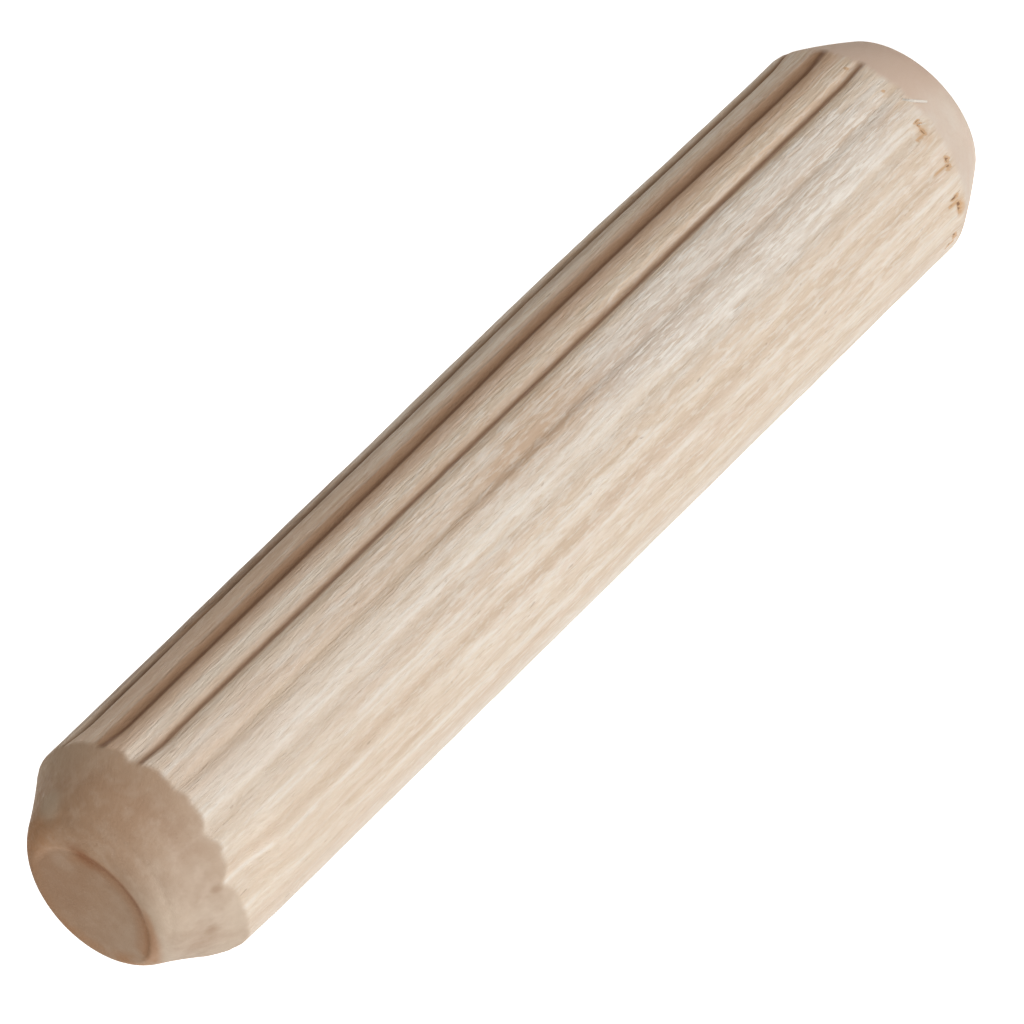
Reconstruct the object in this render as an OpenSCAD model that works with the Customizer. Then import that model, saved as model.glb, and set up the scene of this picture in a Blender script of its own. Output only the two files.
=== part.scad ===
// Fluted wooden dowel pin, one piece of straight-grained hardwood.
// It stands on its foot end, with +Z along its axis and the origin at the
// middle of that end. The top end keeps the shallow step of its saw cut.

/* [Pin] */
// Diameter over the ribs
pin_d = 8; // [6:0.1:16]
// Overall length
pin_l = 40; // [20:1:90]

/* [Flutes] */
// Number of pressed grooves, one between each two ribs
flute_count = 18; // [12:1:20]
// Mean depth of a groove below the ribs
groove_depth = 0.2; // [0.16:0.01:0.34]
// How much deeper the grooves are pressed on the deep side, and shallower opposite
press_bias = 0.14; // [0:0.01:0.14]
// Direction of the deep side from the X axis
deep_side = 30; // [0:5:355]
// Width of the land left on each rib at the full diameter
land_w = 0.72; // [0.3:0.02:0.8]
// Angle of the first rib from the X axis
first_rib = 9; // [0:1:20]

/* [Ends] */
// Length of the chamfer at the top end
top_chamfer_l = 2.4; // [1:0.1:4]
// Radius of the flat that the top chamfer leaves
top_flat_r = 2.55; // [2:0.05:2.8]
// How far the top chamfer bulges past a straight cone
top_bulge = 0.11; // [0:0.01:0.2]
// Length of the chamfer at the foot end
foot_chamfer_l = 2.05; // [1:0.05:4]
// Radius of the flat that the pin stands on
foot_flat_r = 2.95; // [2:0.05:2.95]
// How far the foot chamfer bulges past a straight cone
foot_bulge = 0.03; // [0:0.01:0.2]

/* [Saw step] */
// Depth of the step in the top end, at its middle
step_depth = 0.06; // [0.03:0.01:0.2]
// How far the step's floor leans, so that it is deepest at -Y and runs out at +Y
step_lean = 2.6; // [0:0.1:4]
// Radius of the step
step_r = 2.35; // [1.5:0.01:2.4]
// Centre of the step, off the pin's axis in X
step_x = -0.13; // [-0.3:0.01:0.3]
// Centre of the step, off the pin's axis in Y
step_y = 0.95; // [0:0.01:1.2]

/* [Hidden] */

pin_r = pin_d / 2;
pitch = 360 / flute_count;
land_half = land_w / pin_r * 90 / PI; // half a land's width, in degrees
cutter_half = pitch / 2 - land_half / 2; // half a groove cutter's width, half way into the lands
tip_depth = 1.5; // where a cutter's tip lies below the ribs, in groove depths

bulge_steps = 6;
past = 1; // how far a cutter runs past the pin
fine = 120; // facets of a full round

// Depth of the groove at an angle: the rod lay off centre between the rollers.
function depth_at(angle) = groove_depth + press_bias * cos(angle - deep_side);

// A rib's side is a round about a point on the rib's middle line. It meets the
// land's edge and the foot of a groove of this depth.
function side_centre(depth) =
    let (foot_r = pin_r - depth)
    (pin_r ^ 2 - foot_r ^ 2) / (2 * (pin_r * cos(land_half) - foot_r * cos(pitch / 2)));
function side_radius(depth) =
    let (centre = side_centre(depth))
    sqrt(pin_r ^ 2 + centre ^ 2 - 2 * pin_r * centre * cos(land_half));

// Points from one end of a chamfer to the other, bulging outwards by rise.
function chamfer(from, to, rise) =
    let (run = to - from, out = [run[1], -run[0]] / norm(run))
    [for (i = [0:bulge_steps])
        let (t = i / bulge_steps)
        from + run * t + out * 4 * rise * t * (1 - t)];

// Section of one groove along the X axis, between the rounded sides of two ribs.
module groove_section(depth) {
    reach = pin_r + past;
    difference() {
        polygon([
            [pin_r - tip_depth * depth, 0],
            reach * [cos(cutter_half), sin(cutter_half)],
            reach * [cos(cutter_half), -sin(cutter_half)],
        ]);
        for (side = [-1, 1])
            rotate(side * pitch / 2)
                translate([side_centre(depth), 0])
                    circle(r = side_radius(depth), $fn = fine);
    }
}

// The plain pin: full diameter between its two chamfers.
module turned_blank() {
    foot = chamfer([foot_flat_r, 0], [pin_r, foot_chamfer_l], foot_bulge);
    top = chamfer([pin_r, pin_l - top_chamfer_l], [top_flat_r, pin_l], top_bulge);
    rotate_extrude($fn = fine)
        polygon(concat([[0, 0]], foot, top, [[0, pin_l]]));
}

// What the rollers pressed in all round the blank.
module pressed_grooves() {
    for (i = [0:flute_count - 1]) {
        angle = first_rib + (i + 0.5) * pitch;
        rotate(angle)
            translate([0, 0, -past])
                linear_extrude(pin_l + 2 * past)
                    groove_section(depth_at(angle));
    }
}

// What the saw took off one side of the top end.
module saw_step() {
    translate([step_x, step_y, pin_l - step_depth])
        rotate([step_lean, 0, 0])
            cylinder(r = step_r, h = step_depth + past, $fn = fine);
}

module dowel_pin() {
    color([0.88, 0.79, 0.69])
        difference() {
            turned_blank();
            pressed_grooves();
            saw_step();
        }
}

dowel_pin();
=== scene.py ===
import math
import bpy
import bmesh
from mathutils import Matrix, Vector, noise


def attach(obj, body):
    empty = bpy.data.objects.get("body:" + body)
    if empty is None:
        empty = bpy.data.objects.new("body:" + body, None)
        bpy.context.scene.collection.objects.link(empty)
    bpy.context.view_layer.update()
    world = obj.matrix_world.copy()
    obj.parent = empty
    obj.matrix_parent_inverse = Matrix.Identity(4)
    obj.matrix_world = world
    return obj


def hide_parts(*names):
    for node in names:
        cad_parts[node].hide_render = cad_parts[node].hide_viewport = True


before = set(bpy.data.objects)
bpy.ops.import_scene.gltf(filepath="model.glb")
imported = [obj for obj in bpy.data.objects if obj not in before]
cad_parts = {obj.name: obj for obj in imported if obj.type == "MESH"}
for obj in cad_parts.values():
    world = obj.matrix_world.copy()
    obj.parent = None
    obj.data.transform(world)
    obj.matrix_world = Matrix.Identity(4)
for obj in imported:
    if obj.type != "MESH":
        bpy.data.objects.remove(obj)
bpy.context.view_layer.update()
print("frame loaded:", len(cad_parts), "node")

pin = {  # millimetres and degrees, z = 0 at the foot
    "radius": 4.0, "length": 40.0,
    "grooves": 18, "firstRib": 9.0, "landWidth": 0.72,
    "grooveDepth": 0.2, "pressBias": 0.14, "deepSide": 30.0,
    "twist": -0.07, "twistFrom": 16.0,      # degrees of turn for each mm, and where there is none
    "wander": 0.8, "breathing": 0.16,       # how far a groove strays sideways, and how its depth changes
    "lean": 1.5, "footRound": 0.7,          # how far a groove's foot leans to one side, and how round it is
    "crown": 0.05,                          # how far a rib's top falls away towards a mean groove
    "topChamfer": 2.3, "topFlat": 2.69, "topBulge": -0.06, "topShift": (0.06, -0.09),
    "footChamfer": 2.03, "footFlat": 2.96, "footBulge": 0.035, "footShift": (-0.02, -0.02),
    "fadeLength": 1.1, "fadeShare": 0.25,   # how a groove grows shallow where it meets a chamfer
    "fadeStart": -0.3,                      # where that begins, in mm into the shank
    "wearWidth": 1.15, "wearShare": 0.33,   # how far in the top's corner is worn, and its height in widths
    "wornSide": -80.0, "leastWear": 0.12,   # where it is worn most, and the share of it opposite
    "wearInwards": 0.49, "wearDown": 0.87,  # the way that the wear goes
    "swellings": ((0.128, 15.0, 8.0), (0.05, 27.5, 5.5)),   # on the +X side: height, middle and reach
    "pinch": 0.048,                         # how far that side lies in elsewhere
    "stepDepth": 0.06, "stepLean": 2.6, "stepRadius": 2.3, "stepCentre": (-0.13, 0.95), "stepSlope": 0.2,
    "stepRagged": 0.12, "stepNoise": (0.8, 3),   # how far its edge strays, by noise to the mm, and a seed
    "runOutFull": 2.2, "runOutEnd": 4.5,    # how far below the top a run-out is full, and where it ends
    "fineEnd": 1.3,                         # how far in from each chamfer the rings stay close together
    "segmentsPerGroove": 22, "quickSegments": 10,
    "relief": ((5.0, 0.6, 0.012), (11.0, 1.4, 0.0072)),   # raised grain: per mm across and along, and height
    "sunk": 0.0096,                         # how far the wood lies below the full radius for it
    "easing": 0.025,                        # how softly a chamfer meets the shank
    "endGrain": (-0.11, 0.05),              # where the ends' tone starts and is full, in mm past the corner
}

# slow changes along a groove: noise to the groove's number and to the mm, and a seed
drifts = {"wander": (0.73, 0.09, 1.7), "lean": (0.57, 0.05, 9.1), "depth": (0.31, 0.16, 5.2)}

# rings between the outline's corners, from the middle of the foot to the middle of the top
pinRings = {
    "foot": 10, "footChamfer": 24, "footEnd": 13, "shank": 84, "topEnd": 13, "topChamfer": 32, "top": 30,
}

# grooves that strayed clearly: shift and lean at the top, shift and lean at the foot, share of the depth
unevenGrooves = {
    -81: ((0.0, 1.5), (0.0, 0.8), 1.0),
    -61: ((-0.5, 2.2), (-1.8, 2.2), 1.0),
    -41: ((1.0, 3.4), (1.1, 3.0), 1.0),
    -21: ((7.0, 3.2), (5.6, 3.0), 0.75),
    -1: ((0.0, 0.0), (0.0, 0.0), 0.3),
}
unevenSpan = (8.0, 32.0)   # the heights between which they change

# how the grooves are darkened, partly by the rollers' pressing and partly as painted shade on their walls, in
# degrees either side of a groove's foot
pressingAndShade = {
    "fullDepth": 0.24, "mostShare": 1.1,    # the depth of groove that the widths below are for
    "depths": (0.14, 0.22),                 # where the tone starts and is full, by the depth of the groove
    "core": (1.2, 4.6, -0.6),               # full and faint width, and its middle
    "side": (2.5, 18.0, 0.65),              # full and faint width, and its share on the far side
    "edge": (0.8, 2.4, -2.0, 1.2),          # full and faint width, its middle, and how soon it is full
    "foot": (0.5, 4.5),                     # full and faint width of the tone in every groove
}

# pale lines of raised fibre along the ribs: angle, half width in degrees, strength
paleLines = [
    (-94.5, 0.8, 0.9), (-97.5, 0.8, 1.0), (-112, 0.7, 0.9), (-114.5, 0.8, 0.7), (-129.5, 1.0, 0.9),
    (-148, 1.2, 0.7), (-73, 1.6, 0.7),
]

# pinkish bands beside them, given the same way: partly a pinkish tone, partly painted shade on the lit side's
# groove walls
pinkBands = [(-106, 4.0, 0.8), (-123.5, 3.2, 0.8), (-140, 4.0, 0.5), (-158, 4.0, 0.5), (-86, 3.0, 0.5)]

# fibres torn out where grooves end: angle, height, half width in degrees, half length, depth
tears = [
    (-97.5, 2.38, 1.8, 0.09, 0.05), (-101.5, 2.4, 2.2, 0.08, 0.055), (-103, 2.66, 0.6, 0.26, 0.03),
    (-119, 2.2, 1.8, 0.1, 0.05), (-122, 2.28, 1.5, 0.12, 0.045), (-121, 2.66, 0.6, 0.34, 0.025),
    (-137.5, 2.4, 1.5, 0.18, 0.05), (-140.5, 2.5, 0.8, 0.3, 0.035), (-144, 2.25, 3.6, 0.11, 0.05),
    (-162, 2.35, 2.2, 0.14, 0.05), (-165, 2.6, 1.0, 0.26, 0.04), (-76.5, 2.4, 0.9, 0.08, 0.03),
    (-56, 2.4, 0.9, 0.07, 0.03), (38, 2.4, 2.0, 0.2, 0.06), (97, 2.5, 1.6, 0.16, 0.05),
    (158, 2.4, 2.2, 0.14, 0.05),
]
tearEdge = {
    "ragged": 0.9,            # how far it strays
    "noise": (0.9, 7, 2),     # by noise to the degree and to the mm, and a seed
    "full": 0.4, "end": 1.2,  # where a tear is full and where it ends, in half widths
    "darkDepth": 0.04,        # the depth at which its tone is full
}

# places where the shank's surface runs on over the top chamfer: angle, half width, depth
runOuts = [
    (-138, 24.0, 0.22), (-129, 5.2, 0.2), (-117, 5.0, 0.1), (-105, 5.5, 0.2), (-93, 7.0, 0.08),
    (-78, 5.0, 0.06), (-57, 3.5, 0.09), (19, 6.0, -0.08), (82, 6.0, 0.1), (163, 13.0, 0.29),
]

# loose fibres: angle and height of the root, length, thickness, then turn and lift in degrees
splinters = [
    (-85.2, 2.2, 0.8, 0.15, 134, 7), (-61.5, 4.3, 0.4, 0.06, 60, 15), (-98, 2.4, 0.25, 0.03, 150, 10),
    (-73, 2.4, 0.3, 0.03, 170, 10), (48, 2.2, 0.5, 0.04, 190, 20),
]


def smoothMin(a, b, k):
    h = max(0.0, min(1.0, 0.5 + 0.5 * (b - a) / k))
    return b + (a - b) * h - k * h * (1 - h)


def smoothStep(lo, hi, x):
    t = max(0.0, min(1.0, (x - lo) / (hi - lo)))
    return t * t * (3 - 2 * t)


def turnBetween(angle, other):  # the short way round, in degrees
    return (angle - other + 180) % 360 - 180


def drift(kind, groove, z):  # a slow change along a groove, from -1 to 1
    byGroove, byLength, seed = drifts[kind]
    return noise.noise(Vector((groove * byGroove, z * byLength, seed)))


def chamferRadius(rise, length, flat, bulge):  # radius at a height above the end
    t = rise / length
    return flat + (pin["radius"] - flat) * t + 4 * bulge * t * (1 - t)


# the nearest groove: its direction, its depth, how far its foot leans, and how far from its middle we are
def grooveAt(angle, z):
    pitch = 360 / pin["grooves"]
    angle -= pin["twist"] * (z - pin["twistFrom"])
    middle = pin["firstRib"] + (round((angle - pin["firstRib"]) / pitch - 0.5) + 0.5) * pitch
    groove = round(middle) % 360
    depth = pin["grooveDepth"] + pin["pressBias"] * math.cos(math.radians(middle - pin["deepSide"]))
    across = angle - middle - pin["wander"] * drift("wander", groove, z)
    lean = pin["lean"] * drift("lean", groove, z)
    direction = turnBetween(groove, 0)
    if direction in unevenGrooves:
        top, foot, share = unevenGrooves[direction]
        shift, lean = Vector(foot).lerp(Vector(top), smoothStep(*unevenSpan, z))
        room = pitch - 2 * shift if across > shift else pitch + 2 * shift
        across = (across - shift) * pitch / room
        depth *= share
    return direction, depth, lean, across


def grooveCut(angle, z):  # depth below the full radius at an angle and a height
    pitch = 360 / pin["grooves"]
    direction, depth, lean, across = grooveAt(angle, z)
    depth *= 1 + pin["breathing"] * drift("depth", direction, z)
    fromEnd = min(z - pin["footChamfer"], pin["length"] - pin["topChamfer"] - z)
    grown = smoothStep(pin["fadeStart"], pin["fadeLength"], fromEnd)
    depth *= pin["fadeShare"] + (1 - pin["fadeShare"]) * grown
    share = abs(across) / (pitch / 2)
    crown = pin["crown"] * depth / pin["grooveDepth"] * max(0.0, 1 - share) ** 2
    radius = pin["radius"]
    half = pitch / 2 - math.degrees(pin["landWidth"] / 2 / radius)
    across = (across - lean) * half / (half - lean if across > lean else half + lean)
    across = math.hypot(across, pin["footRound"])
    if across >= half:
        return crown
    foot = radius - depth
    land = math.radians(pitch / 2 - half)
    centre = (radius ** 2 - foot ** 2) / 2
    centre /= radius * math.cos(land) - foot * math.cos(math.radians(pitch / 2))
    side = math.sqrt(radius ** 2 + centre ** 2 - 2 * radius * centre * math.cos(land))
    fromRib = math.radians(pitch / 2 - across)
    cut = radius - centre * math.cos(fromRib) - math.sqrt(side ** 2 - (centre * math.sin(fromRib)) ** 2)
    return max(0.0, cut) + crown


def pressedTone(angle, z):  # the grooves' dark tone at a groove's foot, on its sides and along its sharp edge: partly the rollers' pressing, partly painted shade
    depth, lean, across = grooveAt(angle, z)[1:]
    share = min(pressingAndShade["mostShare"], (depth / pressingAndShade["fullDepth"]) ** 3)
    off = (across - lean) / share
    strength = smoothStep(*pressingAndShade["depths"], depth)
    full, faint, middle = pressingAndShade["core"]
    core = 1 - smoothStep(full, faint * share, abs(off - middle))
    full, faint, farShare = pressingAndShade["side"]
    side = share * (1 - smoothStep(full, faint * share ** 2, abs(off)))
    if off > 0:
        side *= farShare
    full, faint, middle, gain = pressingAndShade["edge"]
    edge = 1 - smoothStep(full, faint, abs(off - middle))
    return strength * core, strength * side, edge * min(1.0, strength * gain)


def footTone(angle, z):  # 1 along the foot of every groove, where painted shade darkens it
    lean, across = grooveAt(angle, z)[2:]
    return 1 - smoothStep(*pressingAndShade["foot"], abs(across - lean))


def bands(angle, places):  # the sum of soft bands, each with its angle, half width and strength
    return sum(strength * math.exp(-(turnBetween(angle, middle) / width) ** 2)
               for middle, width, strength in places)


def tornDepth(angle, z):
    torn = 0.0
    byAngle, byLength, seed = tearEdge["noise"]
    for tearAngle, tearZ, halfWidth, halfLength, depth in tears:
        away = turnBetween(angle, tearAngle) / halfWidth
        along = (z - tearZ) / halfLength
        if abs(away) < 2 and abs(along) < 2:
            reach = math.hypot(away, along)
            reach += tearEdge["ragged"] * noise.noise(Vector((angle * byAngle, z * byLength, seed)))
            torn = max(torn, depth * (1 - smoothStep(tearEdge["full"], tearEdge["end"], reach)))
    return torn


def runOutDepth(angle, fromTop):
    return (1 - smoothStep(pin["runOutFull"], pin["runOutEnd"], fromTop)) * bands(angle, runOuts)


def swelling(angle, z):
    rise = sum(height * math.exp(-((z - middle) / reach) ** 2) for height, middle, reach in pin["swellings"])
    return (rise - pin["pinch"]) * max(0.0, math.cos(math.radians(angle)))


def raisedGrain(x, y, z):
    return sum(height * noise.noise(Vector((x * across, y * across, z * along)))
               for across, along, height in pin["relief"]) - pin["sunk"]


def turnedRadius(angle, z):  # what the chamfers leave, a little off centre at both ends
    fromTop = pin["length"] - z
    along = Vector((math.cos(math.radians(angle)), math.sin(math.radians(angle))))
    if z < pin["footChamfer"] + pin["fineEnd"]:
        flat = chamferRadius(z, pin["footChamfer"], pin["footFlat"], pin["footBulge"])
        return flat + along.dot(Vector(pin["footShift"]))
    if fromTop < pin["topChamfer"] + pin["fineEnd"]:
        flat = chamferRadius(fromTop, pin["topChamfer"], pin["topFlat"], pin["topBulge"])
        return flat + along.dot(Vector(pin["topShift"]))
    return pin["radius"] + 1  # between the chamfers nothing is turned off


def wearTop(v):  # the corner between the top chamfer and the flat is worn round, most on one side
    x, y, z = v.co
    r = math.hypot(x, y)
    if r < 1e-6:
        return
    corner = pin["topFlat"] + Vector(pin["topShift"]).dot(Vector((x, y))) / r
    away = math.hypot(r - corner, pin["length"] - z)
    if away < pin["wearWidth"]:
        side = 0.5 + 0.5 * math.cos(math.atan2(y, x) - math.radians(pin["wornSide"]))
        width = pin["wearWidth"] * (pin["leastWear"] + (1 - pin["leastWear"]) * side)
        worn = pin["wearShare"] * width * max(0.0, 1 - away / width) ** 2
        inwards = pin["wearInwards"] * worn / r
        v.co = x - inwards * x, y - inwards * y, z - pin["wearDown"] * worn


def cutStep(v):  # what the saw left: a shallow leaning floor with a sloping wall round it
    stepX, stepY = pin["stepCentre"]
    x, y, z = v.co
    depth = pin["stepDepth"] - math.tan(math.radians(pin["stepLean"])) * (y - stepY)
    if depth > 0 and pin["length"] - z < depth:
        byLength, seed = pin["stepNoise"]
        ragged = pin["stepRagged"] * noise.noise(Vector((x * byLength, y * byLength, seed)))
        out = math.hypot(x - stepX, y - stepY) - pin["stepRadius"] + ragged
        v.co.z = min(z, pin["length"] - depth * (1 - smoothStep(-pin["stepSlope"], 0, out)))


def carve(bm):
    names = ("endCut", "pressed", "pressedSide", "pressedEdge", "grooveFoot", "paleFibre", "pinkBand", "tear")
    layers = [bm.verts.layers.float.new(name) for name in names]
    near = 1e-4
    for v in bm.verts:
        x, y, z = v.co
        r = math.hypot(x, y)
        angle = math.degrees(math.atan2(y, x))
        fromTop = pin["length"] - z
        onFoot = z < near and r < pin["footFlat"] - near
        onTop = fromTop < near and r < pin["topFlat"] - near
        if onFoot or onTop:
            v[layers[0]] = 1.0
            shift = Vector(pin["topShift" if onTop else "footShift"]) * (r / pin["topFlat"]) ** 2
            v.co.x, v.co.y = x + shift.x, y + shift.y
        else:
            turned = turnedRadius(angle, z)
            fluted = pin["radius"] - grooveCut(angle, z) - runOutDepth(angle, fromTop)
            fluted += swelling(angle, z) + raisedGrain(x, y, z)
            torn = tornDepth(angle, z)
            radius = smoothMin(turned, fluted, pin["easing"]) - torn
            tones = (
                smoothStep(*pin["endGrain"], fluted - turned), *pressedTone(angle, z), footTone(angle, z),
                min(1.0, bands(angle, paleLines)), min(1.0, bands(angle, pinkBands)),
                min(1.0, torn / tearEdge["darkDepth"]),
            )
            for layer, tone in zip(layers, tones):
                v[layer] = tone
            v.co.x, v.co.y = x / r * radius, y / r * radius
        wearTop(v)
        cutStep(v)


def addSplinters(bm):
    fibreLayer = bm.verts.layers.float.new("fibre")
    for angle, height, length, thickness, turn, lift in splinters:
        cone = bmesh.ops.create_cone(bm, cap_ends=True, segments=6, radius1=thickness / 2,
                                     radius2=thickness / 4, depth=length)
        reach = min(turnedRadius(angle, height), pin["radius"] - grooveCut(angle, height))
        place = Matrix.Rotation(math.radians(angle), 4, "Z")
        place @= Matrix.Translation((reach - thickness / 2, 0, height))
        place @= Matrix.Rotation(math.radians(turn), 4, "X") @ Matrix.Rotation(math.radians(lift), 4, "Y")
        place @= Matrix.Translation((0, 0, length / 2))
        bmesh.ops.transform(bm, matrix=place, verts=cone["verts"])
        for v in cone["verts"]:
            v[fibreLayer] = 1.0


def buildPin():
    length, radius = pin["length"], pin["radius"]
    footEdge = pin["footChamfer"]
    topEdge = length - pin["topChamfer"]
    corners = [
        (0, 0), (pin["footFlat"], 0), (radius, footEdge), (radius, footEdge + pin["fineEnd"]),
        (radius, topEdge - pin["fineEnd"]), (radius, topEdge), (pin["topFlat"], length), (0, length),
    ]
    segments = pin["segmentsPerGroove"]
    bm = bmesh.new()
    outline = [bm.verts.new((r, 0, z)) for r, z in corners]
    runs = [bm.edges.new(pair) for pair in zip(outline, outline[1:])]
    for run, cuts in zip(runs, pinRings.values()):
        bmesh.ops.subdivide_edges(bm, edges=[run], cuts=cuts)
    bmesh.ops.spin(bm, geom=bm.verts[:] + bm.edges[:], cent=(0, 0, 0), axis=(0, 0, 1),
                   angle=2 * math.pi, steps=pin["grooves"] * segments, use_merge=True)
    bmesh.ops.remove_doubles(bm, verts=bm.verts[:], dist=1e-5)
    carve(bm)
    addSplinters(bm)
    bmesh.ops.recalc_face_normals(bm, faces=bm.faces[:])
    bmesh.ops.scale(bm, vec=(0.001, 0.001, 0.001), verts=bm.verts[:])
    for face in bm.faces:
        face.smooth = True
    mesh = bpy.data.meshes.new("dowelPin")
    bm.to_mesh(mesh)
    bm.free()
    piece = bpy.data.objects.new("dowelPin", mesh)
    bpy.context.scene.collection.objects.link(piece)
    print("pin mesh:", len(mesh.polygons), "faces")
    return piece


def linear(red, green, blue):  # a colour from 0 to 255 as the eye sees it, for a shader
    return tuple(((part / 255 + 0.055) / 1.055) ** 2.4 for part in (red, green, blue)) + (1,)


wood = {
    "cream": linear(243, 231, 217), "tan": linear(231, 210, 187), "pink": linear(232, 212, 198),
    "yellow": linear(238, 224, 200), "pale": linear(250, 245, 238), "silver": linear(222, 213, 206),
    "lateWoodAndShade": linear(210, 187, 162), "biscuit": linear(216, 188, 162), "band": linear(222, 198, 176),
    "pressed": linear(152, 120, 93), "deepest": linear(112, 78, 54), "deepBrown": linear(120, 80, 50),
    "stainAndShade": linear(186, 134, 90), "torn": linear(214, 176, 136),
    "topCut": linear(200, 183, 166), "topShade": linear(182, 151, 126),
    "topBrown": linear(162, 130, 106), "topLight": linear(218, 200, 180),
    "footCut": linear(232, 220, 208), "footPink": linear(222, 200, 184),
    "stepWallBurnishAndShade": linear(172, 120, 80), "stepShadowLine": linear(122, 76, 46), "stepLineStartBrown": linear(140, 90, 54),
}

# layers of streaks: how many to the mm across and along the grain, detail, seed and wave
grainLayers = {
    "broad": (0.45, 0.045, 2.0, 5.0, 0.0),
    "pinkish": (0.7, 0.1, 3.0, 41.0, 1.0),
    "rings": (1.6, 0.035, 3.0, 9.0, 0.5),
    "fine": (5.0, 0.35, 3.0, 23.0, 0.5),
    "lines": (4.5, 0.07, 4.0, 37.0, 0.3),
    "fibres": (13.0, 1.1, 3.0, 3.0, 0.1),
    "flecks": (9.0, 1.6, 3.0, 17.0, 0.1),
    "hairs": (12.0, 1.1, 2.0, 29.0, 0.05),
    "ridges": (3.0, 0.5, 3.0, 47.0, 0.3),
    "pores": (5.0, 1.6, 1.0, 77.0, 0.0),
    "blotches": (0.9, 0.9, 3.0, 51.0, 0.0),
    "mottle": (2.0, 2.0, 2.0, 63.0, 0.0),
    "edges": (2.6, 0.7, 3.0, 31.0, 0.0),
}
waveNoise = (0.9, 0.9, 0.6)   # what bends the streaks: noise to the mm
streakRoughness = 0.6

# smooth steps: where each one starts and ends, then its value before and after
steps = {
    "broad": (0.42, 0.62, 0.0, 0.4), "pinkish": (0.42, 0.65, 0.0, 0.4),
    "rings": (0.5, 0.75, 0.0, 0.25), "fine": (0.45, 0.7, 0.0, 0.28),
    "darkLines": (0.46, 0.38, 0.0, 0.3), "paleLines": (0.56, 0.62, 0.0, 0.4),
    "fibres": (0.5, 0.34, 0.0, 0.4), "flecks": (0.5, 0.62, 0.0, 0.4),
    "hairs": (0.53, 0.6, 0.0, 0.95), "ridges": (0.4, 0.55, 0.0, 0.8), "pores": (0.74, 0.8, 0.0, 0.35),
    "yellowX": (-2.2, -3.4, 0.0, 0.1),
    "woollyZ": (36.0, 24.0, 0.35, 1.0),   # the grain is rougher towards the foot
    # the top's far side is lightened as painted fill light
    "topX": (-3.0, 1.5, 0.0, 1.0), "topFarPaintedFillX": (2.4, 4.0, 0.0, 0.5), "topZ": (38.9, 38.1, 0.0, 0.2),
    "topBlotches": (0.35, 0.7, 0.0, 0.4), "mottle": (0.6, 0.25, 0.0, 0.15),
    "rimIn": (1.9, 2.4, 0.0, 1.0), "rimOut": (3.0, 2.7, 0.0, 1.0), "rimY": (0.2, 0.9, 0.0, 1.0),
    "rimBlotches": (0.4, 0.6, 0.2, 0.65),
    "footX": (-0.9, 0.6, 0.0, 1.0), "footBlotches": (0.35, 0.7, 0.0, 0.5), "endZ": (10.0, 30.0, 0.0, 1.0),
    "torn": (0.05, 0.4, 0.0, 0.8), "tornDeep": (0.7, 1.0, 0.0, 0.8),
    "roughness": (0.3, 0.9, 0.75, 0.45),
    # the saw step's burnish, painted shade and painted shadow line: in mm out from its edge, and along an
    # axis
    "wallIn": (-0.75, -0.3, 0.0, 0.4), "wallOut": (0.28, 0.0, 0.0, 1.0),
    "lineIn": (-0.38, -0.16, 0.0, 0.9), "lineOut": (0.16, 0.02, 0.0, 1.0), "lineX": (-1.7, -1.0, 0.0, 0.7),
    "bandIn": (-0.6, -0.2, 0.0, 1.0), "bandOut": (0.42, 0.12, 0.0, 1.0), "bandX": (-0.9, -1.6, 0.0, 0.6),
    "deepX": (1.5, 1.1, 0.0, 1.0), "deepY": (0.75, 0.45, 0.0, 1.0),
    "floorOut": (0.1, -0.2, 0.0, 0.45), "floorZ": (39.5, 39.7, 0.0, 1.0),
}

surface = {
    "sheenShare": 0.2,      # how far the sheen adds to the flecks' shine
    "fleckHeight": 0.8,     # how high the flecks stand, beside the fibres
    "endSmoothness": 0.75,  # how much flatter both are on the ends
    "bump": 0.00005,        # the fibres' height, in metres
}

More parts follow.
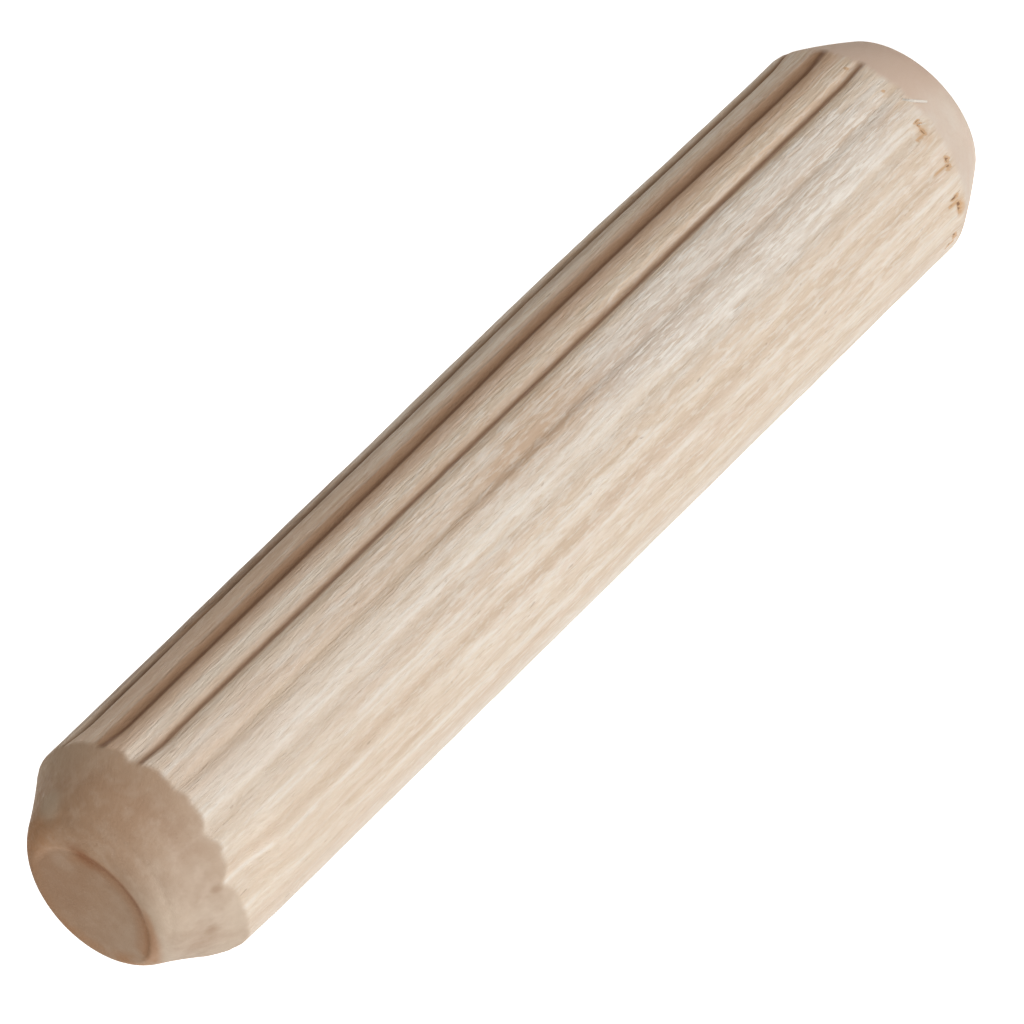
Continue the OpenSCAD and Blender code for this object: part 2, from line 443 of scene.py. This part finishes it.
# soft areas of another tone, in mm: centre, half size, softness and raggedness of the edge
toneAreas = {
    "sheen": ((0.55, -3.95, 10.0), (1.35, 1.5, 8.2), 0.12, 0.5),
    "lightBand": ((-0.4, -3.95, 20.0), (0.7, 1.5, 30.0), 0.35, 0.15),
    "tanBand": ((0.75, -3.9, 20.0), (0.9, 1.5, 2.7), 0.25, 0.35),
    "lowBand": ((0.3, -3.95, 21.0), (0.35, 0.5, 6.5), 0.5, 0.4),
    "upperBand": ((1.37, -3.76, 26.0), (0.5, 0.5, 11.0), 0.5, 0.4),
    "nearTan": ((-2.83, -2.83, 34.0), (1.4, 1.4, 6.0), 0.6, 0.3),
    "orangeRib": ((2.35, -3.2, 5.5), (0.7, 0.9, 8.0), 0.6, 0.4),
    "grainLine": ((0.47, -3.97, 20.5), (0.08, 0.3, 4.8), 0.6, 0.2),
    # painted shade on a rib on the side turned from the key lamp
    "shadeRib": ((3.62, -1.7, 33.0), (0.5, 0.5, 10.0), 0.5, 0.3),
    # painted shade on the far wall of a groove
    "farWall": ((3.78, -0.62, 30.5), (0.7, 0.3, 7.5), 0.35, 0.3),
    # painted shade on a groove's lit wall
    "litWall": ((2.02, -3.45, 26.5), (0.19, 0.3, 13.0), 0.5, 0.3),
    # painted shade on a rib near the shaded edge
    "farRib": ((3.71, -1.5, 16.0), (0.25, 0.3, 9.0), 0.5, 0.3),
    # painted highlight along the lit edge
    "litEdgeHighlight": ((-3.9, -0.65, 20.0), (0.35, 0.75, 19.0), 0.6, 0.3),
    "tanWall": ((0.76, -3.93, 18.0), (0.22, 0.4, 13.0), 0.5, 0.3),
    # painted highlight on the face
    "facePaintedHighlight": ((1.4, 0.25, 40.0), (0.4, 0.35, 0.4), 0.7, 0.8),
    "faceBrown": ((2.45, 0.3, 39.8), (0.5, 1.0, 0.7), 0.7, 0.8),
    "faceShade": ((1.2, 1.3, 39.9), (1.1, 1.1, 0.5), 0.6, 0.3),
    # the start of the step's painted shadow line
    "lineStart": ((1.05, -0.88, 39.85), (0.55, 0.34, 0.4), 0.6, 0.3),
    # painted light on a worn corner that the low key lamp lights too little
    "cornerPaintedLight": ((-1.75, -1.5, 39.7), (0.75, 0.75, 0.5), 0.6, 0.3),
    # painted fill light on the chamfer's shaded side
    "chamferPaintedLight": ((2.85, -0.8, 39.5), (0.4, 0.5, 0.4), 0.6, 0.3),
    "chamferShade": ((-3.1, -0.85, 39.0), (0.4, 0.6, 0.5), 0.6, 0.3),
    "chamferSpot": ((-2.25, -2.65, 38.55), (0.12, 0.12, 0.2), 0.8, 0.6),
    "greenSpot": ((-3.1, -1.35, 38.85), (0.2, 0.2, 0.2), 0.8, 0.6),
    "tornPatch": ((-3.28, -2.29, 2.2), (0.28, 0.3, 0.2), 0.5, 0.5),
    "tornHalo": ((-0.85, -3.92, 2.45), (0.3, 0.3, 0.22), 0.6, 0.5),
}


def plug(tree, value, socket):  # a plain value or another node's output into a socket
    if isinstance(value, bpy.types.NodeSocket):
        tree.links.new(value, socket)
    else:
        socket.default_value = value


def maths(tree, operation, *values):
    node = tree.nodes.new("ShaderNodeMath")
    node.operation = operation
    for value, socket in zip(values, node.inputs):
        plug(tree, value, socket)
    return node.outputs[0]


def product(tree, value, *factors):
    for factor in factors:
        value = maths(tree, "MULTIPLY", value, factor)
    return value


def vectorMaths(tree, operation, *values):
    node = tree.nodes.new("ShaderNodeVectorMath")
    node.operation = operation
    for value, socket in zip(values, node.inputs):
        plug(tree, value, socket)
    return node.outputs["Value" if operation == "LENGTH" else "Vector"]


def combined(tree, *values):  # a vector of two or three values
    node = tree.nodes.new("ShaderNodeCombineXYZ")
    for value, socket in zip(values, node.inputs):
        plug(tree, value, socket)
    return node.outputs[0]


def ramp(tree, *values):  # a smooth step of a value: its start and end, then the results before and after
    node = tree.nodes.new("ShaderNodeMapRange")
    node.interpolation_type = "SMOOTHSTEP"
    for value, socket in zip(values, node.inputs):
        plug(tree, value, socket)
    return node.outputs[0]


def step(tree, value, name):
    return ramp(tree, value, *steps[name])


def noiseTexture(tree, place, detail, roughness):
    node = tree.nodes.new("ShaderNodeTexNoise")
    for name, value in (("Vector", place), ("Scale", 1.0), ("Detail", detail), ("Roughness", roughness)):
        plug(tree, value, node.inputs[name])
    return node.outputs


def mixColour(tree, factor, first, second):
    node = tree.nodes.new("ShaderNodeMix")
    node.data_type = "RGBA"
    for value, name in ((factor, "Factor_Float"), (first, "A_Color"), (second, "B_Color")):
        plug(tree, value, next(socket for socket in node.inputs if socket.identifier == name))
    return next(socket for socket in node.outputs if socket.identifier == "Result_Color")


def attribute(tree, name):
    node = tree.nodes.new("ShaderNodeAttribute")
    node.attribute_name = name
    return node.outputs["Fac"]


def millimetres(tree):  # the object's own coordinates, in mm
    place = tree.nodes.new("ShaderNodeTexCoord")
    return vectorMaths(tree, "MULTIPLY", place.outputs["Object"], (1000, 1000, 1000))


def newGroup(name, inputs):  # a group with one output, and the sockets at its two ends
    group = bpy.data.node_groups.new(name, "ShaderNodeTree")
    for label, (kind, default) in inputs.items():
        socket = group.interface.new_socket(label, in_out="INPUT", socket_type="NodeSocket" + kind)
        socket.default_value = default
    group.interface.new_socket("Value", in_out="OUTPUT", socket_type="NodeSocketFloat")
    return group, group.nodes.new("NodeGroupInput").outputs, group.nodes.new("NodeGroupOutput").inputs[0]


def useGroup(tree, group, values):  # values in the order of the group's inputs
    node = tree.nodes.new("ShaderNodeGroup")
    node.node_tree = group
    for value, socket in zip(values, node.inputs):
        plug(tree, value, socket)
    return node.outputs["Value"]


def buildStreaks():  # noise drawn out along the grain, so many streaks to the mm across and along
    group, given, out = newGroup("streaks", {
        "Across": ("Float", 4.0), "Along": ("Float", 0.3), "Detail": ("Float", 2.0), "Seed": ("Float", 0.0),
        "Wave": ("Float", 0.0)})
    broad = vectorMaths(group, "MULTIPLY", millimetres(group), waveNoise)
    bend = vectorMaths(group, "SUBTRACT", noiseTexture(group, broad, 1.0, 0.5)["Color"], (0.5, 0.5, 0.5))
    bend = vectorMaths(group, "MULTIPLY", bend, combined(group, given["Wave"], given["Wave"], given["Wave"]))
    place = vectorMaths(group, "ADD", millimetres(group), bend)
    stretch = combined(group, given["Across"], given["Across"], given["Along"])
    place = vectorMaths(group, "MULTIPLY", place, stretch)
    place = vectorMaths(group, "ADD", place, combined(group, given["Seed"], given["Seed"], given["Seed"]))
    plug(group, noiseTexture(group, place, given["Detail"], streakRoughness)["Fac"], out)
    return group


def buildPatch(streaks):  # 1 inside a rounded area with a ragged edge, 0 outside it
    group, given, out = newGroup("patch", {
        "Centre": ("Vector", (0, 0, 0)), "Half Size": ("Vector", (1, 1, 1)), "Softness": ("Float", 0.3),
        "Raggedness": ("Float", 0.3)})
    offset = vectorMaths(group, "SUBTRACT", millimetres(group), given["Centre"])
    reach = vectorMaths(group, "LENGTH", vectorMaths(group, "DIVIDE", offset, given["Half Size"]))
    edge = maths(group, "SUBTRACT", useGroup(group, streaks, grainLayers["edges"]), 0.5)
    reach = maths(group, "ADD", reach, product(group, edge, given["Raggedness"], 2.0))
    low = maths(group, "SUBTRACT", 1.0, given["Softness"])
    high = maths(group, "ADD", 1.0, given["Softness"])
    plug(group, ramp(group, reach, low, high, 1.0, 0.0), out)
    return group


def stepShadeAndBurnish(tree, place):  # the saw step's wall, burnished and with painted shade, the painted shadow line along its edge, and its floor
    away = combined(tree, *(maths(tree, "SUBTRACT", place[axis], middle)
                            for axis, middle in zip("XY", pin["stepCentre"])))
    out = maths(tree, "SUBTRACT", vectorMaths(tree, "LENGTH", away), pin["stepRadius"])
    wall, line, band = (product(tree, step(tree, out, kind + "In"), step(tree, out, kind + "Out"))
                        for kind in ("wall", "line", "band"))
    line = product(tree, line, step(tree, place["X"], "lineX"))
    band = product(tree, band, step(tree, place["X"], "bandX"))
    wall = maths(tree, "MAXIMUM", wall, band)
    deep = product(tree, step(tree, place["Y"], "deepY"), step(tree, place["X"], "deepX"))
    floor = product(tree, step(tree, out, "floorOut"), step(tree, place["Z"], "floorZ"))
    return product(tree, wall, deep), product(tree, line, deep), floor


def woodMaterial():
    mat = bpy.data.materials.new("paleHardwood")
    mat.use_nodes = True
    tree = mat.node_tree
    shader = tree.nodes["Principled BSDF"]
    streaks = buildStreaks()
    patch = buildPatch(streaks)

    def streak(name):
        return useGroup(tree, streaks, grainLayers[name])

    def area(name):
        return useGroup(tree, patch, toneAreas[name])

    def toned(colour, factor, tone):
        return mixColour(tree, factor, colour, wood[tone])

    def grained(colour, *layers):  # layers of streaks that each have a step of the same name
        for name, tone in layers:
            colour = toned(colour, step(tree, streak(name), name), tone)
        return colour

    def dabbed(colour, *dabs):  # soft areas laid on in turn: name, strength and tone
        for name, strength, tone in dabs:
            colour = toned(colour, product(tree, area(name), strength), tone)
        return colour

    def carved(colour, *marks):  # what the mesh carries as an attribute, given the same way
        for name, strength, tone in marks:
            colour = toned(colour, product(tree, attribute(tree, name), strength), tone)
        return colour

    separate = tree.nodes.new("ShaderNodeSeparateXYZ")
    plug(tree, millimetres(tree), separate.inputs[0])
    place = separate.outputs
    lines, fibres, flecks = streak("lines"), streak("fibres"), streak("flecks")
    woolly = step(tree, place["Z"], "woollyZ")
    sheen = area("sheen")

    # the shank's broad tones
    shank = grained(wood["cream"], ("broad", "tan"), ("pinkish", "pink"))
    shank = toned(shank, step(tree, place["X"], "yellowX"), "yellow")
    shank = grained(shank, ("rings", "lateWoodAndShade"))
    shank = dabbed(shank, ("tanBand", 0.65, "biscuit"), ("lowBand", 0.35, "biscuit"),
                   ("upperBand", 0.3, "biscuit"), ("nearTan", 0.35, "tan"))
    # pinkish bands, partly painted shade on the lit side's groove walls
    shank = carved(shank, ("pinkBand", 0.5, "band"))
    shank = dabbed(shank, ("orangeRib", 0.5, "tan"), ("lightBand", 0.35, "pale"))
    # painted shade along every groove's foot
    shank = carved(shank, ("grooveFoot", 0.25, "lateWoodAndShade"))
    shank = toned(shank, product(tree, sheen, 0.5), "silver")

    # its growth lines, fine fibres, pale flecks and pores
    shank = grained(shank, ("fine", "lateWoodAndShade"))
    for value, name, tone in ((lines, "darkLines", "lateWoodAndShade"), (lines, "paleLines", "pale"),
                              (fibres, "fibres", "lateWoodAndShade"), (flecks, "flecks", "pale")):
        shank = toned(shank, product(tree, step(tree, value, name), woolly), tone)
    hairs = product(tree, step(tree, streak("hairs"), "hairs"), sheen)
    shank = toned(shank, hairs, "pale")
    ridges = product(tree, step(tree, streak("ridges"), "ridges"), attribute(tree, "paleFibre"))
    shank = toned(shank, ridges, "pale")
    shank = grained(shank, ("pores", "pressed"))

    # what the rollers darkened together with painted shade in the grooves, and the tones of single ribs and
    # walls: painted shade, and a painted highlight along the lit edge
    shank = dabbed(shank, ("grainLine", 0.3, "pressed"))
    # the grooves' sides: the pressing's stain with painted shade
    shank = carved(shank, ("pressedSide", 0.48, "stainAndShade"))
    # painted shade on ribs and groove walls, and a painted highlight along the lit edge
    shank = dabbed(shank, ("shadeRib", 0.36, "stainAndShade"), ("farWall", 0.6, "deepBrown"), ("litWall", 0.3, "pressed"),
                   ("farRib", 0.45, "pressed"), ("litEdgeHighlight", 0.28, "pale"), ("tanWall", 0.2, "pressed"))
    # the grooves' feet and sharp lower edges: the pressing's tone with painted shade
    shank = carved(shank, ("pressed", 1.0, "pressed"), ("pressedEdge", 0.7, "deepest"))

    # the top's end grain, blotchy where the cutter burnished it, with painted fill light on its far side and
    # painted light on the face, a corner and the chamfer
    blotches = streak("blotches")
    top = toned(wood["topCut"], step(tree, place["X"], "topX"), "topShade")
    # painted fill light on the top's far side
    top = toned(top, step(tree, place["X"], "topFarPaintedFillX"), "topCut")
    top = toned(top, step(tree, blotches, "topBlotches"), "topBrown")
    top = grained(top, ("mottle", "cream"))
    # painted light on the face, a worn corner and the chamfer, among the top's own tones
    top = dabbed(top, ("facePaintedHighlight", 0.3, "cream"), ("faceBrown", 0.4, "stainAndShade"),
                 ("cornerPaintedLight", 0.35, "topLight"), ("chamferPaintedLight", 0.8, "topCut"),
                 ("chamferShade", 0.35, "topBrown"))
    top = toned(top, step(tree, place["Z"], "topZ"), "topLight")

    # the stain round its corner, and the saw step's burnish with painted shade and a painted shadow line
    reach = vectorMaths(tree, "LENGTH", combined(tree, place["X"], place["Y"]))
    rim = product(tree, step(tree, reach, "rimIn"), step(tree, reach, "rimOut"),
                  step(tree, place["Y"], "rimY"), step(tree, blotches, "rimBlotches"))
    top = toned(top, rim, "stainAndShade")
    top = dabbed(top, ("chamferSpot", 0.5, "pressed"), ("greenSpot", 0.5, "pressed"))
    wall, line, floor = stepShadeAndBurnish(tree, place)
    for mark, tone in ((floor, "topBrown"), (wall, "stepWallBurnishAndShade"), (line, "stepShadowLine")):
        top = toned(top, mark, tone)
    # the last patch is the start of the step's painted shadow line
    top = dabbed(top, ("faceShade", 0.5, "topBrown"), ("lineStart", 0.6, "stepLineStartBrown"))

    # the foot's end grain, then the ends and the torn fibres over the shank
    foot = toned(wood["footCut"], step(tree, place["X"], "footX"), "footPink")
    foot = toned(foot, step(tree, blotches, "footBlotches"), "footPink")
    cut = attribute(tree, "endCut")
    colour = mixColour(tree, cut, shank, mixColour(tree, step(tree, place["Z"], "endZ"), foot, top))
    colour = dabbed(colour, ("tornPatch", 0.7, "torn"), ("tornHalo", 0.4, "torn"))
    tear = attribute(tree, "tear")
    colour = toned(colour, step(tree, tear, "torn"), "torn")
    colour = toned(colour, step(tree, tear, "tornDeep"), "deepBrown")
    colour = carved(colour, ("fibre", 1.0, "pale"))
    plug(tree, colour, shader.inputs["Base Color"])

    shine = maths(tree, "ADD", flecks, product(tree, sheen, surface["sheenShare"]))
    plug(tree, step(tree, shine, "roughness"), shader.inputs["Roughness"])
    height = maths(tree, "ADD", fibres, product(tree, flecks, surface["fleckHeight"]))
    rough = maths(tree, "SUBTRACT", 1.0, product(tree, cut, surface["endSmoothness"]))
    bump = tree.nodes.new("ShaderNodeBump")
    bump.inputs["Distance"].default_value = surface["bump"]
    plug(tree, product(tree, height, rough), bump.inputs["Height"])
    plug(tree, bump.outputs[0], shader.inputs["Normal"])
    print("wood material:", len(tree.nodes), "nodes")
    return mat


studio = {
    "floorSize": 4.0, "floorColour": 0.7, "sky": 0.28, "skyColour": (1, 0.86, 0.68, 1),
    "lamps": {  # direction in degrees round the pin, height in degrees, power and size
        "key": (-110, 5, 11.1, 0.8),
        "rake": (-200, 40, 6.0, 0.8),
    },
    "lampDistance": 1.2,
}

view = {  # the pin's middle is what the camera is set by
    "lens": 417.9, "distance": 0.3551, "elevation": 33.8, "roll": -134.15,
    "aside": (-0.082, 0.473),   # where the pin's middle lies off the picture's middle, in mm
    "nearest": 0.01,            # what lies nearer than this isn't drawn
}

pinMiddle = Vector((0, 0, pin["length"] / 2000))  # in metres, like the rest of the studio


def outwards(turn, height):  # the direction at a turn round Z and a height above the floor, in degrees
    turn, height = math.radians(turn), math.radians(height)
    level = math.cos(height)
    return Vector((math.cos(turn) * level, math.sin(turn) * level, math.sin(height)))


def seenDirectly(nodes, links):  # 1 for what the camera sees itself, in a mirror or through glass
    path = nodes.new("ShaderNodeLightPath")
    total = path.outputs["Is Camera Ray"]
    for kind in ("Is Glossy Ray", "Is Transmission Ray"):
        add = nodes.new("ShaderNodeMath")
        add.operation = "ADD"
        add.use_clamp = True
        links.new(total, add.inputs[0])
        links.new(path.outputs[kind], add.inputs[1])
        total = add.outputs[0]
    return total


def buildFloor():
    bm = bmesh.new()
    bmesh.ops.create_grid(bm, x_segments=1, y_segments=1, size=studio["floorSize"] / 2)
    mesh = bpy.data.meshes.new("floor")
    bm.to_mesh(mesh)
    bm.free()
    floor = bpy.data.objects.new("floor", mesh)
    bpy.context.scene.collection.objects.link(floor)
    mat = bpy.data.materials.new("paleFloor")
    mat.use_nodes = True
    nodes, links = mat.node_tree.nodes, mat.node_tree.links
    nodes.clear()
    out = nodes.new("ShaderNodeOutputMaterial")
    add = nodes.new("ShaderNodeAddShader")
    diffuse = nodes.new("ShaderNodeBsdfDiffuse")
    diffuse.inputs["Color"].default_value = (studio["floorColour"],) * 3 + (1,)
    glow = nodes.new("ShaderNodeEmission")
    links.new(seenDirectly(nodes, links), glow.inputs["Strength"])
    links.new(diffuse.outputs[0], add.inputs[0])
    links.new(glow.outputs[0], add.inputs[1])
    links.new(add.outputs[0], out.inputs["Surface"])
    mesh.materials.append(mat)


def buildSky():
    world = bpy.data.worlds.new("studio")
    bpy.context.scene.world = world
    world.use_nodes = True
    nodes, links = world.node_tree.nodes, world.node_tree.links
    sky = nodes["Background"]
    blend = nodes.new("ShaderNodeMapRange")
    blend.inputs["To Min"].default_value = studio["sky"]
    links.new(seenDirectly(nodes, links), blend.inputs["Value"])
    links.new(blend.outputs[0], sky.inputs["Strength"])
    sky.inputs["Color"].default_value = studio["skyColour"]


def buildLamps():
    for name, (turn, height, power, size) in studio["lamps"].items():
        data = bpy.data.lights.new(name, "AREA")
        data.shape = "DISK"
        data.size = size
        data.energy = power
        lamp = bpy.data.objects.new(name, data)
        lamp.visible_camera = False
        bpy.context.scene.collection.objects.link(lamp)
        direction = outwards(turn, height)
        lamp.location = direction * studio["lampDistance"] + pinMiddle
        lamp.rotation_euler = direction.to_track_quat("Z", "Y").to_euler()


def buildCamera():
    camera = bpy.data.cameras.new("camera")
    camera.lens = view["lens"]
    camera.clip_start = view["nearest"]
    eye = bpy.data.objects.new("camera", camera)
    bpy.context.scene.collection.objects.link(eye)
    upright = outwards(-90, view["elevation"]).to_track_quat("Z", "Y").to_matrix().to_4x4()
    turned = upright @ Matrix.Rotation(math.radians(view["roll"]), 4, "Z")
    asideX, asideY = view["aside"]
    aside = Vector((asideX / 1000, asideY / 1000, -view["distance"]))
    eye.matrix_world = Matrix.Translation(pinMiddle - turned.to_3x3() @ aside) @ turned
    bpy.context.scene.camera = eye


piece = buildPin()
piece.data.materials.append(woodMaterial())
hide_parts("dowel_pin")
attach(piece, "root")
buildFloor()
buildSky()
buildLamps()
buildCamera()
bpy.context.scene.view_settings.view_transform = "Standard"
print("floor, light and camera set")
